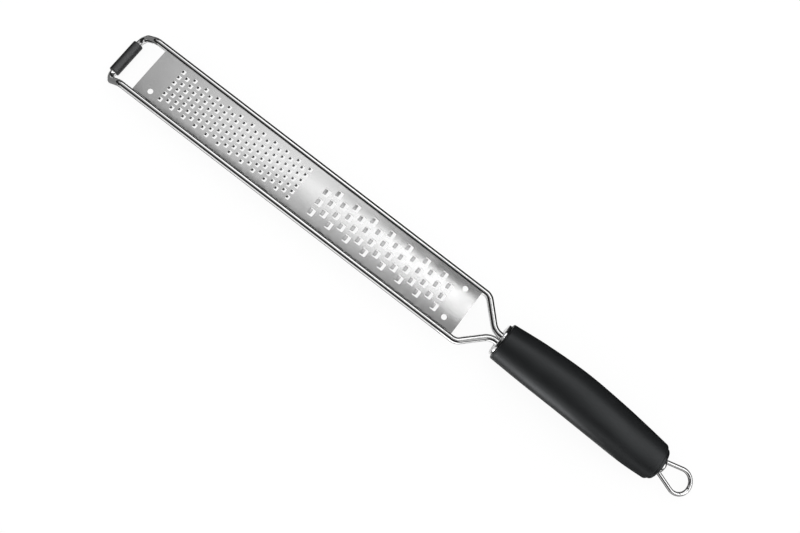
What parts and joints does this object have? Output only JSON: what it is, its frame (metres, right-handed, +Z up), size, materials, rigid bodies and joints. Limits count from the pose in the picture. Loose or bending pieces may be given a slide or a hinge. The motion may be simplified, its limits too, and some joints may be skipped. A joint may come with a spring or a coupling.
{
  "type": "rasp zester",
  "caption": "Long two-zone hand grater: a toothed steel strip in a bent wire frame with a black tip sleeve, a black soft-grip handle and a steel hanging loop.",
  "frame": {"origin": "on the surface that the zester lies on, under the middle of its length and width", "axes": "+X from the tip to the hanging loop, +Y across the blade, +Z up, out of the toothed side"},
  "size_m": [0.3952, 0.0356, 0.0305],
  "materials": {
    "blade_steel": "fine brushed, satin",
    "frame_steel": "polished stainless wire",
    "weld_steel": "dull weld bead",
    "sleeve_rubber": "smooth black rubber, slight sheen",
    "collar_steel": "polished stainless",
    "grip_rubber": "matt black soft touch",
    "core_plastic": "hard black plastic",
    "cap_plastic": "matt black plastic",
    "disc_steel": "polished stainless",
    "loop_steel": "polished stainless wire"
  },
  "bodies": {
    "root": {"grater_blade": "blade_steel", "wire_frame": "frame_steel", "blade_welds": "weld_steel", "tip_sleeve": "sleeve_rubber", "front_collar": "collar_steel", "handle_grip": "grip_rubber", "handle_core": "core_plastic", "end_cap": "cap_plastic", "rear_disc": "disc_steel", "hanging_loop": "loop_steel"}
  },
  "joints": []
}
